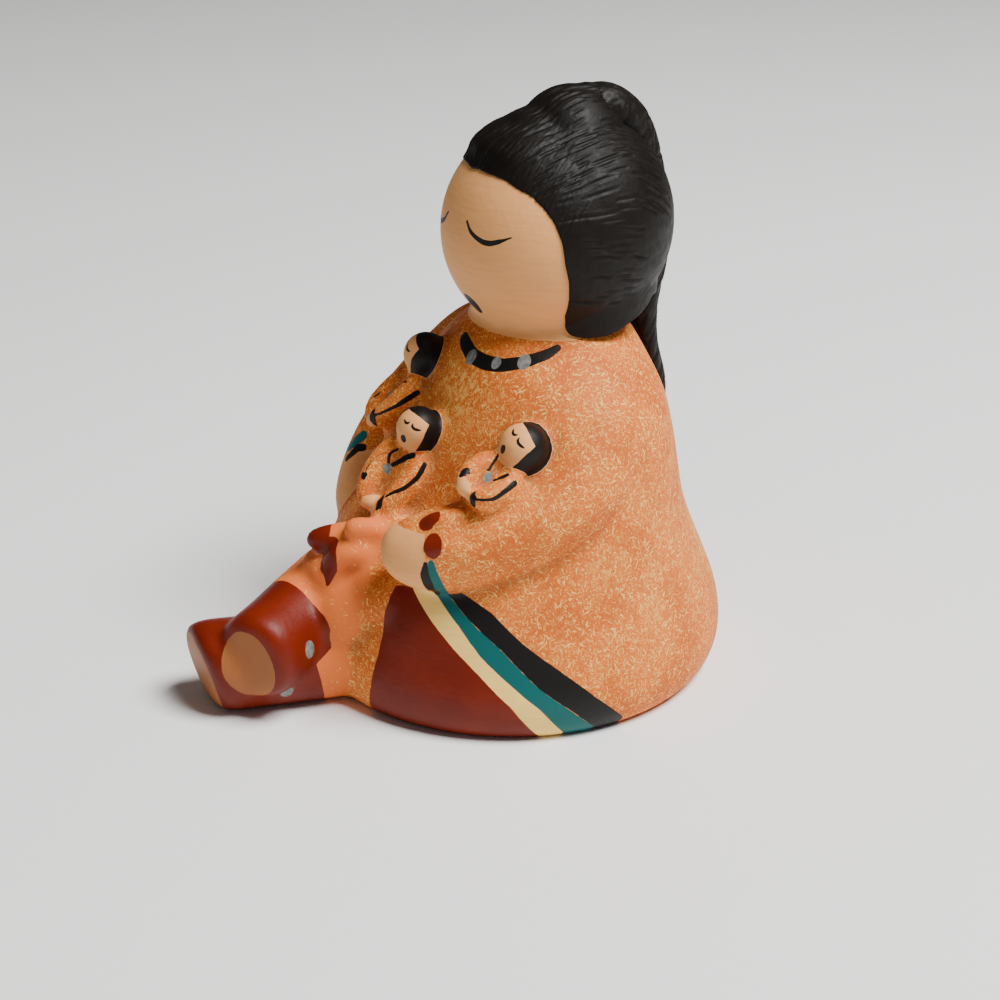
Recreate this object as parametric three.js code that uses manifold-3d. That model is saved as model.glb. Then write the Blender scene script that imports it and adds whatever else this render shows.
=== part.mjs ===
// A seated storyteller figure in fired clay: a woman with crossed legs and a long ponytail, singing
// with her eyes closed, and three small children resting on her arms and lap. It is modelled by hand
// and fired as one piece, so it is one solid with a flat underside.
// Millimetres, +Z up, the face towards -Y, the origin on the underside below the head.
import * as THREE from "three";
import { mergeVertices } from "three/addons/utils/BufferGeometryUtils.js";
import Module from "manifold-3d";

const wasm = await Module();
wasm.setup();

// The overall height, from the underside to the crown of the hair.
const HEIGHT = 122;

// The figure's pose and proportions are shares of its height: in the tables below, 1 is one hundredth
// of it, and places are [x, y, z] with +x on the figure's left.
const SHARE = HEIGHT / 100;

// The body flares from the shoulders to a round base and swells forward into the lap. Each row is
// [height, half width, depth behind, depth in front, how far its middle lies behind the origin].
const BODY_ROWS = [
  [0, 33.8, 33.8, 33.8, -5.8],
  [2.5, 35.8, 35.8, 35.8, -5.6],
  [7, 36.5, 36.5, 36.5, -5.2],
  [13, 35.2, 34.6, 36, -4.2],
  [20, 33.2, 30.8, 35, -3.2],
  [26, 31.6, 27.4, 32, -2.4],
  [31, 30.6, 25.2, 27.4, -2],
  [36, 29.6, 23.6, 24.4, -1.4],
  [44, 28.4, 21, 21.8, -0.4],
  [50, 26.2, 19.4, 19.6, 0.3],
  [55, 22.4, 17.6, 17.8, 0.9],
  [59, 17.6, 15.6, 15.6, 1.2],
  [62, 13.8, 13.2, 13.2, 1.4],
  [66, 12, 12, 12, 1.6],
];

// Rounded masses: [x, y, z, half width, half depth, half height]
const HEAD = [0, 1.5, 76.2, 18.5, 18.5, 18.5];
const HAIR_MASSES = [
  [0, 4.4, 77.6, 18.6, 17.6, 18.6],
  [0, -1.4, 84, 13.5, 13.4, 11.8],
  [0, 5.6, 88.6, 9.8, 10.4, 11.4],
];

// Rolls of clay: each follows its path, rows of [x, y, z, half width, half thickness], with its
// thickness towards the way it faces. A blunt of 2 tapers its ends to points like an ellipsoid's, and
// a large one cuts them flat. An ending turns its last rings to face that way.
const HAIR_FALL = {
  path: [
    [0, 3.6, 80, 16, 15],
    [0, 4.4, 70, 16.4, 15.2],
    [0, 5, 60.6, 15, 13.8],
  ],
  facing: [0, 1, 0],
  blunt: 5,
};
const PONYTAIL = {
  path: [
    [0, 5, 90, 5, 5],
    [0, 10.2, 96, 4.6, 4],
    [0, 14.4, 92.8, 4.2, 3.4],
    [0, 17.7, 86.4, 4, 3.2],
    [0, 19.7, 79, 4, 3.1],
    [0, 20.2, 70, 3.9, 3],
    [0, 18.8, 61.4, 3.8, 2.8],
    [0, 19.4, 54, 3.6, 2.4],
    [0, 21.4, 48, 3, 2.2],
    [0, 22.6, 42, 1.2, 1.2],
  ],
  facing: [0, 1, 0.4],
  blunt: 6,
};
const LEFT_ARM = {
  path: [
    [12, 3, 53, 7.4, 7],
    [20, 1.5, 48, 7.8, 7.4],
    [24.6, -6.5, 39, 7.6, 7.4],
    [23.4, -18, 33.6, 7.2, 6.8],
    [19.5, -28.4, 31.6, 6.8, 6],
    [15.4, -36, 31, 6.4, 5],
  ],
  facing: [1, -0.4, 0.2],
  blunt: 3,
};
const RIGHT_ARM = {
  path: [
    [-9, 1, 56.2, 8.4, 7.6],
    [-16.2, -3, 52.8, 8, 7.6],
    [-20.6, -9, 45.8, 7, 7],
    [-21.2, -15.6, 39, 6.8, 6.8],
    [-20.6, -21.8, 31.9, 6.2, 6.2],
    [-19, -26.4, 25, 5.8, 5.4],
    [-18, -28, 19, 4.6, 4.4],
  ],
  facing: [-1, -0.6, 0.2],
  blunt: 3,
};
const LEFT_LEG = {
  path: [
    [6, -22, 9, 9.4, 9.4],
    [4, -34, 8.2, 8.4, 8.6],
    [2.4, -44, 7.6, 8, 8.2],
    [0.4, -54.4, 7.5, 8.1, 8.2],
    [-1.2, -63, 7, 8, 8.1],
  ],
  facing: [0, 0, 1],
  blunt: 8,
  ending: [0.05, -0.97, -0.2],
};
const RIGHT_LEG = {
  path: [
    [-9, -22, 15, 9.6, 9],
    [-5.6, -33, 16, 8.6, 8.4],
    [-1.4, -42.5, 14.2, 7.8, 7.6],
    [4, -50.6, 12.6, 7.5, 7.5],
    [8.6, -57, 12.3, 7.3, 7.3],
  ],
  facing: [0, 0, 1],
  blunt: 8,
  ending: [0.62, -0.78, 0],
};

// The children, from the figure's left arm over its lap to its right arm: where the head and the
// joined hands are, which way the child looks, half the width across its arms, and its two legs
const CHILDREN = [
  {
    head: [22.8, -13.4, 48.4],
    headRadius: 4.1,
    hands: [24.2, -24.6, 42.2],
    front: [0.5, -0.5, 0.7],
    halfWidth: 4.4,
    legs: [
      [
        [24, -22, 37.4, 2.2, 2.2],
        [22.4, -26.6, 37.2, 2, 2],
        [20.4, -30.8, 36.6, 1.7, 1.7],
      ],
      [
        [26, -24, 34, 2.4, 2.4],
        [24, -28, 33.6, 2.2, 2.2],
        [21.6, -31.8, 32.4, 2, 2],
      ],
    ],
  },
  {
    head: [3.4, -23.6, 46],
    headRadius: 3.8,
    hands: [2.2, -32.6, 34],
    front: [0.46, -0.84, 0.3],
    halfWidth: 4.8,
    legs: [
      [
        [5, -32, 28.4, 3, 3],
        [2.2, -37.6, 28, 2.5, 2.5],
        [-0.6, -43.4, 27.2, 2.4, 2.4],
      ],
      [
        [8, -33, 26.6, 2.6, 2.6],
        [5.4, -39, 26.6, 2.2, 2.2],
        [3.6, -42, 20.4, 1.7, 2],
      ],
    ],
  },
  {
    head: [-8.6, -18, 54],
    headRadius: 3.9,
    hands: [-11.4, -25.6, 43.6],
    front: [-0.15, -0.85, 0.5],
    halfWidth: 4,
    legs: [
      [
        [-11.4, -20, 41, 2.4, 2.4],
        [-9.6, -25, 36, 2.1, 2.1],
        [-8.4, -27.8, 31.6, 1.9, 1.9],
      ],
      [
        [-8.2, -19.6, 40.6, 2.4, 2.4],
        [-6.2, -25, 36.2, 2.1, 2.1],
        [-4.8, -28.2, 32, 1.9, 1.9],
      ],
    ],
  },
];

// A child's own shapes: rows of [across, outwards, down, half width, half thickness]. They are shares
// of its half width, except for the steps down, which are shares of the way from the neck to the hands.
const CHILD_TRUNK = [
  [0, -0.3, -0.3, 0.5, 0.5],
  [0, -0.5, 0.2, 0.85, 0.7],
  [0, -0.7, 0.7, 0.85, 0.8],
  [0, -0.9, 1, 0.6, 0.7],
];
const CHILD_ARM = [
  [0.45, -0.35, -0.1, 0.42, 0.5],
  [0.72, -0.2, 0.3, 0.44, 0.52],
  [0.6, -0.05, 0.74, 0.4, 0.5],
  [0.14, 0, 1.04, 0.36, 0.42],
];
const CHILD_BLUNT = 3;
const CHILD_LEG = { facing: [0, 0, 1], blunt: 2.6 };

// How finely each form is faceted: [sides around, rows along]
const FACETS = {
  body: [44, 24],
  head: [30, 20],
  hair: [28, 18],
  hairFall: [28, 12],
  ponytail: [10, 28],
  arm: [16, 16],
  leg: [16, 14],
  childHead: [14, 10],
  childTrunk: [12, 9],
  childArm: [8, 9],
  childLeg: [8, 8],
};

const MERGE_DISTANCE = 1e-4;
const ON_AXIS = 1e-6;

const place = ([x, y, z]) => new THREE.Vector3(x, y, z).multiplyScalar(SHARE);
const direction = ([x, y, z]) => new THREE.Vector3(x, y, z).normalize();
const through = (points) => new THREE.CatmullRomCurve3(points, false, "catmullrom", 0.5);

// A closed manifold solid from a three.js geometry.
function solidOf(geometry) {
  geometry.deleteAttribute("normal");
  geometry.deleteAttribute("uv");
  const merged = mergeVertices(geometry, MERGE_DISTANCE);
  return new wasm.Manifold(
    new wasm.Mesh({
      numProp: 3,
      vertProperties: merged.attributes.position.array,
      triVerts: new Uint32Array(merged.index.array),
    }),
  );
}

// Moves every vertex of a geometry to where reshape says.
function reshaped(geometry, reshape) {
  const vertices = geometry.getAttribute("position");
  const vertex = new THREE.Vector3();
  for (let i = 0; i < vertices.count; i += 1) {
    vertex.fromBufferAttribute(vertices, i);
    vertices.setXYZ(i, ...reshape(vertex).toArray());
  }
  return geometry;
}

function mass([x, y, z, width, depth, height], facets) {
  const ball = new THREE.SphereGeometry(SHARE, ...facets).rotateX(Math.PI / 2);
  ball.scale(width, depth, height);
  ball.translate(x * SHARE, y * SHARE, z * SHARE);
  return solidOf(ball);
}

// A sphere drawn out along a path, ring by ring, into a roll with rounded or flat ends.
function roll({ path, facing, blunt, ending }, facets) {
  const middle = through(path.map(place));
  const girth = through(path.map(([, , , width, thickness]) => place([width, thickness, 0])));
  const outward = direction(facing);
  return solidOf(
    reshaped(new THREE.SphereGeometry(1, ...facets), (vertex) => {
      const share = THREE.MathUtils.clamp((1 + vertex.y) / 2, 0, 1);
      const point = middle.getPoint(share);
      const ring = Math.hypot(vertex.x, vertex.z);
      if (ring < ON_AXIS) return point;
      const along = middle.getTangent(share);
      if (ending) along.lerp(direction(ending), share ** 4).normalize();
      const out = outward.clone().addScaledVector(along, -outward.dot(along)).normalize();
      const across = new THREE.Vector3().crossVectors(along, out);
      const half = girth.getPoint(share);
      const fill = (1 - Math.abs(vertex.y) ** blunt) ** (1 / blunt) / ring;
      return point
        .addScaledVector(across, vertex.x * fill * half.x)
        .addScaledVector(out, vertex.z * fill * half.y);
    }),
  );
}

// The body: a lathed bell, with its rings widened, deepened and shifted as BODY_ROWS says.
function body([sides, rows]) {
  const rings = through(BODY_ROWS.map(([height, width, , , middle]) => place([width, middle, height])));
  const depths = through(BODY_ROWS.map(([height, , behind, front]) => place([behind, front, height])));
  const profile = Array.from({ length: rows + 1 }, (_, i) => new THREE.Vector2(1, i / rows));
  const bell = new THREE.LatheGeometry(
    [new THREE.Vector2(0, 0), ...profile, new THREE.Vector2(0, 1)],
    sides,
  ).rotateX(Math.PI / 2);
  return solidOf(
    reshaped(bell, (vertex) => {
      const share = THREE.MathUtils.clamp(vertex.z, 0, 1);
      const ring = rings.getPoint(share);
      const depth = depths.getPoint(share);
      const reach = vertex.y > 0 ? depth.x : depth.y;
      return new THREE.Vector3(vertex.x * ring.x, vertex.y * reach + ring.y, ring.z);
    }),
  );
}

function headAndHair() {
  return [
    mass(HEAD, FACETS.head),
    ...HAIR_MASSES.map((row) => mass(row, FACETS.hair)),
    roll(HAIR_FALL, FACETS.hairFall),
    roll(PONYTAIL, FACETS.ponytail),
  ];
}

function armsAndLegs() {
  return [
    ...[LEFT_ARM, RIGHT_ARM].map((arm) => roll(arm, FACETS.arm)),
    ...[LEFT_LEG, RIGHT_LEG].map((leg) => roll(leg, FACETS.leg)),
  ];
}

// A child's head, trunk, two arms that meet in joined hands, and two legs.
function child({ head, headRadius, hands, front, halfWidth, legs }) {
  const crown = new THREE.Vector3(...head).sub(new THREE.Vector3(...hands));
  const length = crown.length() - headRadius;
  crown.normalize();
  const facing = direction(front);
  facing.addScaledVector(crown, -facing.dot(crown)).normalize();
  const side = new THREE.Vector3().crossVectors(crown, facing);
  const limb = (rows, hand, facets) => {
    const path = rows.map(([across, outwards, down, width, thickness]) => [
      ...new THREE.Vector3(...head)
        .addScaledVector(side, across * hand * halfWidth)
        .addScaledVector(facing, outwards * halfWidth)
        .addScaledVector(crown, -headRadius - down * length),
      width * halfWidth,
      thickness * halfWidth,
    ]);
    return roll({ path, facing: [...facing], blunt: CHILD_BLUNT }, facets);
  };
  return [
    mass([...head, headRadius, headRadius, headRadius], FACETS.childHead),
    limb(CHILD_TRUNK, 1, FACETS.childTrunk),
    ...[-1, 1].map((hand) => limb(CHILD_ARM, hand, FACETS.childArm)),
    ...legs.map((path) => roll({ path, ...CHILD_LEG }, FACETS.childLeg)),
  ];
}

// The whole figure as one solid, cut off flat where it stands.
function figure() {
  const clay = [body(FACETS.body), ...headAndHair(), ...armsAndLegs(), ...CHILDREN.flatMap(child)];
  const room = 3 * HEIGHT;
  const below = new THREE.BoxGeometry(room, room, HEIGHT).translate(0, 0, -HEIGHT / 2);
  return clay.reduce((sum, piece) => sum.add(piece)).subtract(solidOf(below));
}

function geometryOf(solid) {
  const { numProp, vertProperties, triVerts } = solid.getMesh();
  const count = vertProperties.length / numProp;
  const vertices = new Float32Array(count * 3);
  for (let i = 0; i < count; i += 1) {
    vertices.set(vertProperties.subarray(i * numProp, i * numProp + 3), i * 3);
  }
  const geometry = new THREE.BufferGeometry();
  geometry.setAttribute("position", new THREE.BufferAttribute(vertices, 3));
  geometry.setIndex(new THREE.BufferAttribute(new Uint32Array(triVerts), 1));
  geometry.computeVertexNormals();
  return geometry;
}

const clay = new THREE.MeshStandardMaterial({ color: 0xc98058, roughness: 0.6, metalness: 0 });
const storyteller = new THREE.Mesh(geometryOf(figure()), clay);
storyteller.name = "storyteller_figure";

const group = new THREE.Group();
group.add(storyteller);
export default group;
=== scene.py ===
# %% [markdown]
# # A painted clay storyteller
#
# A seated woman in fired clay sings with her eyes closed, and three small children rest on her arms
# and lap. A potter builds such a figure from a hollow bell, a ball for the head and many small rolls
# of soft clay, smooths the joins with a wet finger, fires it, and paints it with slips and paints.
# This file works in nearly the same order: the lumps of clay, the joins, where each colour goes, the
# combed hair, how clay and paint look, and at last the studio that it is photographed in.

import math

import bmesh
import bpy
import numpy as np
from mathutils import Matrix, Vector, noise
from mathutils.bvhtree import BVHTree
from mathutils.kdtree import KDTree


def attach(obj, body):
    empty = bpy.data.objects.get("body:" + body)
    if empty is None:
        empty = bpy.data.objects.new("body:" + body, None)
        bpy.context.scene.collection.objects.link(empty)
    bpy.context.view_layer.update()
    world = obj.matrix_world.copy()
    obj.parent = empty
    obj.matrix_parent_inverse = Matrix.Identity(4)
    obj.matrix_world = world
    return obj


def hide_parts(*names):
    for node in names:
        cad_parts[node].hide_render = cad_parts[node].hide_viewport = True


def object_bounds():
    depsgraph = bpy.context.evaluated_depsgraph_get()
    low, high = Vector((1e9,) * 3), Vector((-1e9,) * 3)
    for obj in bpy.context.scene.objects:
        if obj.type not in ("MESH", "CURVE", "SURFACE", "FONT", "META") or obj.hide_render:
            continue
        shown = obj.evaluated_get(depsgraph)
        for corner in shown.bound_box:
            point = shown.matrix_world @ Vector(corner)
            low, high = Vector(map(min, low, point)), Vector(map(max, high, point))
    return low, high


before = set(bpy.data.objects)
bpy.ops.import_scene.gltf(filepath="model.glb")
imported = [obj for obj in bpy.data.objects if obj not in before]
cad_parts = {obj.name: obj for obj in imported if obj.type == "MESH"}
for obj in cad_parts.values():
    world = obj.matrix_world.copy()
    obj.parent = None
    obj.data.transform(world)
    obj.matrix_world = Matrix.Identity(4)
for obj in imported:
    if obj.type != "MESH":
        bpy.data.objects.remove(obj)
cad_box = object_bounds()
print("The packed figure is", [round(1000 * side, 1) for side in cad_box[1] - cad_box[0]], "mm")

# %% [markdown]
# ## Shares of the height
#
# The figure's places are shares of its height, as in the solid it stands for: 1 is a hundredth of
# 122 mm, +x is the figure's left, -y is where it looks, +z is up. Everything is made in shares and
# turned to metres in one place, so a size can be compared with the figure's own proportions.

# %% Sizes that everything shares
HEIGHT = 0.122
SHARE = HEIGHT / 100
MM = 0.001 / SHARE


def unit(vector):
    return np.array(vector, float) / np.linalg.norm(vector)


def along(rows, share):
    """Values of a smooth path through rows, at shares from 0 to 1 of it."""
    rows = np.array(rows, float)
    ends = np.vstack([2 * rows[0] - rows[1], rows, 2 * rows[-1] - rows[-2]])
    step = np.clip(share, 0, 1) * (len(rows) - 1)
    first = np.minimum(step.astype(int), len(rows) - 2)
    t = (step - first)[:, None]
    a, b, c, d = (ends[first + i] for i in range(4))
    return b + t / 2 * (c - a + t * (2 * a - 5 * b + 4 * c - d + t * (3 * (b - c) + d - a)))


# %% [markdown]
# ## Lumps of clay
#
# A rounded mass is a ball stretched in three directions. A roll of clay is a ball too: its rings are
# strung along a path, and each ring gets the half width and half thickness that the path's rows give
# at that place. Metaballs or a Skin modifier would also make such forms, but they give no say over a
# roll's flat ends or its width and thickness apart, and the moccasins and arms need both.

# %% A ball and a roll
lumps = bmesh.new()
part_of_face = []


def add_lump(part, lump):
    """Adds a finished lump to the others, and notes which part its faces belong to."""
    mesh = bpy.data.meshes.new(part)
    lump.to_mesh(mesh)
    lump.free()
    lumps.from_mesh(mesh)
    bpy.data.meshes.remove(mesh)
    part_of_face.extend([part] * (len(lumps.faces) - len(part_of_face)))


def put(vertices, places):
    for vertex, place in zip(vertices, places):
        vertex.co = place


def mass(part, x, y, z, half_width, half_depth, half_height):
    """A ball stretched to its three half sizes."""
    lump = bmesh.new()
    size = Matrix.Translation((x, y, z)) @ Matrix.Diagonal((half_width, half_depth, half_height, 1))
    bmesh.ops.create_uvsphere(lump, u_segments=64, v_segments=40, radius=1, matrix=size)
    add_lump(part, lump)


def roll(part, path, facing, blunt, ending=None, sides=40, rings=72):
    """A roll of clay along path rows of [x, y, z, half width, half thickness]."""
    lump = bmesh.new()
    ball = bmesh.ops.create_uvsphere(lump, u_segments=sides, v_segments=rings, radius=1)["verts"]
    unit_ball = np.array([vertex.co for vertex in ball])
    share = np.clip((1 + unit_ball[:, 2]) / 2, 0, 1)
    rows = along(path, share)
    step = 1e-4
    ahead = along(path, share + step)[:, :3] - along(path, share - step)[:, :3]
    ahead /= np.linalg.norm(ahead, axis=1)[:, None]
    if ending is not None:
        ahead += (unit(ending) - ahead) * share[:, None] ** 4
        ahead /= np.linalg.norm(ahead, axis=1)[:, None]
    out = unit(facing) - ahead * (ahead @ unit(facing))[:, None]
    out /= np.linalg.norm(out, axis=1)[:, None]
    across = np.cross(ahead, out)
    ring = np.hypot(unit_ball[:, 0], unit_ball[:, 1])
    fill = (1 - np.abs(unit_ball[:, 2]).clip(0, 1) ** blunt) ** (1 / blunt) / ring.clip(1e-6)
    wide = unit_ball[:, 0] * fill * rows[:, 3]
    thick = -unit_ball[:, 1] * fill * rows[:, 4]
    put(ball, rows[:, :3] + across * wide[:, None] + out * thick[:, None])
    add_lump(part, lump)


# %% [markdown]
# ## The body
#
# The real body is a hollow bell of clay that swells forward into the lap. It is spun from an upright
# line, and then each ring is widened, deepened and shifted to fit its row, because a plain turned
# shape would be as deep behind as in front.

# %% The bell of the body
BODY_ROWS = [
    # height, half width, depth behind, depth in front, middle
    [0, 33.8, 33.8, 33.8, -5.8],
    [2.5, 35.8, 35.8, 35.8, -5.6],
    [7, 36.5, 36.5, 36.5, -5.2],
    [13, 35.2, 34.6, 36, -4.2],
    [20, 33.2, 30.8, 35, -3.2],
    [26, 31.6, 27.4, 32, -2.4],
    [31, 30.6, 25.2, 27.4, -2],
    [36, 29.6, 23.6, 24.4, -1.4],
    [44, 28.4, 21, 21.8, -0.4],
    [50, 26.2, 18.8, 19.6, 0.3],
    [55, 22.4, 16, 17.8, 0.9],
    [59, 17.6, 13.8, 15.6, 1.2],
    [62, 13.8, 12, 13.2, 1.4],
    [66, 12, 12, 12, 1.6],
]


def body(rings=90, sides=160):
    lump = bmesh.new()
    column = [lump.verts.new((0, 0, 0))]
    column += [lump.verts.new((1, 0, i / rings)) for i in range(rings + 1)]
    column.append(lump.verts.new((0, 0, 1)))
    line = [lump.edges.new(pair) for pair in zip(column, column[1:])]
    turn = {"cent": (0, 0, 0), "axis": (0, 0, 1), "angle": 2 * math.pi, "steps": sides}
    bmesh.ops.spin(lump, geom=column + line, use_merge=True, **turn)
    bmesh.ops.remove_doubles(lump, verts=lump.verts[:], dist=1e-6)
    bmesh.ops.recalc_face_normals(lump, faces=lump.faces[:])
    spun = np.array([vertex.co for vertex in lump.verts])
    row = along(BODY_ROWS, spun[:, 2])
    depth = np.where(spun[:, 1] > 0, row[:, 2], row[:, 3])
    wide, deep = spun[:, 0] * row[:, 1], spun[:, 1] * depth + row[:, 4]
    put(lump.verts, np.column_stack([wide, deep, row[:, 0]]))
    add_lump("body", lump)


body()
print("The bell has", len(lumps.faces), "faces")

# %% [markdown]
# ## The head
#
# The head is a plain ball of clay that sinks into the shoulders. The hair is a thicker layer laid
# over it, and comes later as pieces of its own, because its comb marks need a finer mesh that runs
# the way the comb did.

# %% The head
HEAD_CENTRE = np.array([0, 1.5, 76.2])
HEAD_RADIUS = 18.5

mass("head", *HEAD_CENTRE, *[HEAD_RADIUS] * 3)
print(f"The head is {2 * HEAD_RADIUS / MM:.0f} mm across")

# %% [markdown]
# ## Arms and legs
#
# Arms and legs are rolls of clay pressed on to the bell. The legs end flat, in the soles of the
# moccasins, so their rings are turned at the end to face the way each sole does. A slope and four
# soft lumps of clay between them make the lap.

# %% Where the arms and legs go
LEFT_ARM = [
    [12, 3, 53, 7.4, 7],
    [20, 1.5, 48, 7.8, 7.4],
    [24.6, -6.5, 39, 7.6, 7.4],
    [23.4, -18, 33.6, 7.2, 6.8],
    [19.5, -28.4, 31.1, 7.4, 6],
    [15.4, -36, 30.8, 6.7, 5],
]
RIGHT_ARM = [
    [-9, 1, 56.2, 8.4, 7.6],
    [-16.2, -3, 52.8, 8, 7.6],
    [-20.6, -9, 45.8, 7, 7],
    [-21.2, -15.6, 39, 6.8, 6.8],
    [-20.6, -21.8, 31.9, 6.2, 6.2],
    [-19, -26.4, 25, 5.8, 5.4],
    [-18, -28, 19, 4.6, 4.4],
]
LEFT_LEG = [
    [6, -22, 9, 9.4, 9.4],
    [4, -34, 8.2, 8.4, 8.6],
    [2.4, -44, 7.6, 8, 8.2],
    [0.4, -54.4, 7.2, 8.1, 7.9],
    [-1.2, -63, 7.3, 8, 8.5],
]
RIGHT_LEG = [
    [-9, -22, 15, 9.6, 9],
    [-5.6, -33, 16, 8.6, 8.4],
    [-1.4, -42.5, 13.6, 7.8, 8.3],
    [4, -50.6, 12, 7.5, 8.1],
    [8.6, -57, 11.9, 7.3, 7.8],
]
LAP_SLOPE = [[7, -31, 20.4, 7, 6.4], [6, -38, 16.4, 6, 6], [4.4, -44, 13, 5, 5]]
LEFT_SOLE = [0.05, -0.97, -0.2]
RIGHT_SOLE = [0.62, -0.78, 0]

# %% Arms, legs and lap
roll("left_arm", LEFT_ARM, facing=(1, -0.4, 0.2), blunt=3)
roll("right_arm", RIGHT_ARM, facing=(-1, -0.6, 0.2), blunt=3)
roll("left_leg", LEFT_LEG, facing=(0, 0, 1), blunt=8, ending=LEFT_SOLE)
roll("right_leg", RIGHT_LEG, facing=(0, 0, 1), blunt=8, ending=RIGHT_SOLE)
mass("lap", 8, -31.5, 19.5, 8.6, 8, 7)
roll("lap", LAP_SLOPE, facing=(0, -0.4, 1), blunt=3)
mass("lap", 6, -29.4, 28, 5, 5, 5)
mass("lap", 1.8, -39.5, 21.3, 4.6, 4.8, 4.2)
mass("lap", -0.8, -40.2, 21.4, 4, 4, 3.9)
print("With its arms, legs and lap the clay has", len(lumps.faces), "faces")

# %% [markdown]
# ## The children
#
# Each child is a ball for the head, a trunk, two arms that meet in joined hands, and two small legs.
# All three are made by one function in the child's own directions, across, outwards and down, so
# their rows say only where each child sits, which way it looks and how its legs lie.

# %% Three children
CHILDREN = [
    {
        "head": [22.8, -14.1, 47.8],
        "head_radius": 4.1,
        "hands": [24.3, -24.6, 41.8],
        "front": [0.5, -0.5, 0.7],
        "half_width": 4.4,
        "legs": [
            [[24, -22, 37.4, 2.2, 2.2], [22.4, -26.6, 37.2, 2, 2], [20.4, -30.8, 36.6, 1.7, 1.7]],
            [[26, -24, 34, 2.4, 2.4], [24, -28, 33.6, 2.2, 2.2], [21.6, -31.8, 32.4, 2, 2]],
        ],
    },
    {
        "head": [3.2, -24.2, 45.7],
        "head_radius": 3.8,
        "hands": [2.8, -33, 32.4],
        "front": [0.46, -0.84, 0.3],
        "half_width": 4.8,
        "legs": [
            [[5, -32, 28.4, 3, 3], [2.2, -37.6, 28, 2.5, 2.5], [-0.6, -43.4, 27.2, 2.4, 2.4]],
            [[8, -33, 26.6, 2.6, 2.6], [5.4, -38.8, 26.6, 2.5, 2.2], [3.8, -42, 20.6, 1.4, 2]],
            [[8, -32, 30.4, 1.9, 1.9], [6.3, -36.4, 31, 1.9, 1.9], [5.4, -38.8, 30.4, 1.7, 1.7]],
        ],
    },
    {
        "head": [-8, -18.1, 54.2],
        "head_radius": 3.9,
        "hands": [-11.8, -27.3, 42.2],
        "front": [-0.15, -0.85, 0.5],
        "half_width": 4,
        "legs": [
            [[-11.4, -20, 41, 2.4, 2.4], [-9.6, -25, 36, 2.1, 2.1], [-8.4, -27.8, 31.6, 1.9, 1.9]],
            [[-8.2, -19.6, 40.6, 2.4, 2.4], [-6.2, -25, 36.2, 2.1, 2.1], [-4.8, -28.2, 32, 1.9, 1.9]],
        ],
    },
]

# %% Modelling a child
# Rows of [across, outwards, down, half width, half thickness]: shares of the child's half width, and
# down is a share of the way from its neck to its hands
CHILD_TRUNK = [
    [0, -0.3, -0.3, 0.5, 0.5],
    [0, -0.65, 0.2, 0.85, 0.7],
    [0, -0.95, 0.7, 0.85, 0.8],
    [0, -1.1, 1, 0.6, 0.7],
]
CHILD_ARM = [
    [0.45, -0.35, -0.1, 0.42, 0.5],
    [0.72, -0.2, 0.3, 0.44, 0.52],
    [0.6, -0.05, 0.74, 0.4, 0.5],
    [0.14, 0, 1.04, 0.36, 0.42],
]


def child_ways(child):
    """Which ways are up a child's trunk and out from its front."""
    crown = unit(np.subtract(child["head"], child["hands"]))
    return crown, unit(np.array(child["front"]) - crown * (crown @ child["front"]))


def child_row(child, across, outwards, down, *half):
    """A row of a path in the child's own directions, turned to a row on the figure."""
    crown, facing = child_ways(child)
    length = np.linalg.norm(np.subtract(child["head"], child["hands"])) - child["head_radius"]
    side = np.cross(crown, facing)
    moved = (across * side + outwards * facing) * child["half_width"]
    place = child["head"] + moved - crown * (child["head_radius"] + down * length)
    return [*place, *np.array(half) * child["half_width"]]


def model_child(name, child):
    mass(name + "_head", *child["head"], *[child["head_radius"]] * 3)
    facing = child_ways(child)[1]
    for part, rows, hands in [("_trunk", CHILD_TRUNK, [1]), ("_arm", CHILD_ARM, [-1, 1])]:
        for hand in hands:
            path = [child_row(child, hand * across, *rest) for across, *rest in rows]
            roll(name + part, path, facing, blunt=3, sides=24, rings=40)
    for leg in child["legs"]:
        roll(name + "_leg", leg, facing=(0, 0, 1), blunt=2.6, sides=24, rings=32)


for child, name in zip(CHILDREN, ["arm_child", "lap_child", "upper_child"]):
    child["name"] = name
    model_child(name, child)
print("All the lumps of clay have", len(lumps.faces), "faces")

# %% [markdown]
# ## Fusing the clay
#
# Lumps that only overlap meet in sharp creases. A Remesh modifier in voxel mode makes one skin of
# them, and then the creases are filled: a point whose neighbours stand proud of it sits in a hollow
# and moves out to them, which is what a wet finger does to a join. Plain smoothing would shrink the
# children's small heads and hands, so points on rounded places move far less.

# %% One skin of clay
FUSE_VOXEL = 0.75 * MM
CREASE_ROUNDS = 10
CREASE_DEPTH = 0.02 * MM
CREASE_PULL = 0.6
EASE_PULL = 0.12


def mesh_from(bm, name):
    mesh = bpy.data.meshes.new(name)
    bm.to_mesh(mesh)
    return mesh


def coordinates(mesh):
    flat = np.empty(len(mesh.vertices) * 3)
    mesh.vertices.foreach_get("co", flat)
    return flat.reshape(-1, 3)


def set_coordinates(mesh, places):
    mesh.vertices.foreach_set("co", places.ravel())
    mesh.update()


def normals(mesh):
    flat = np.empty(len(mesh.vertices) * 3)
    mesh.vertices.foreach_get("normal", flat)
    return flat.reshape(-1, 3)


def write_field(mesh, name, values):
    """Keeps one number per vertex on the mesh, where the shader can read it by name."""
    mesh.attributes.new(name, "FLOAT", "POINT").data.foreach_set("value", values)


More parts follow.
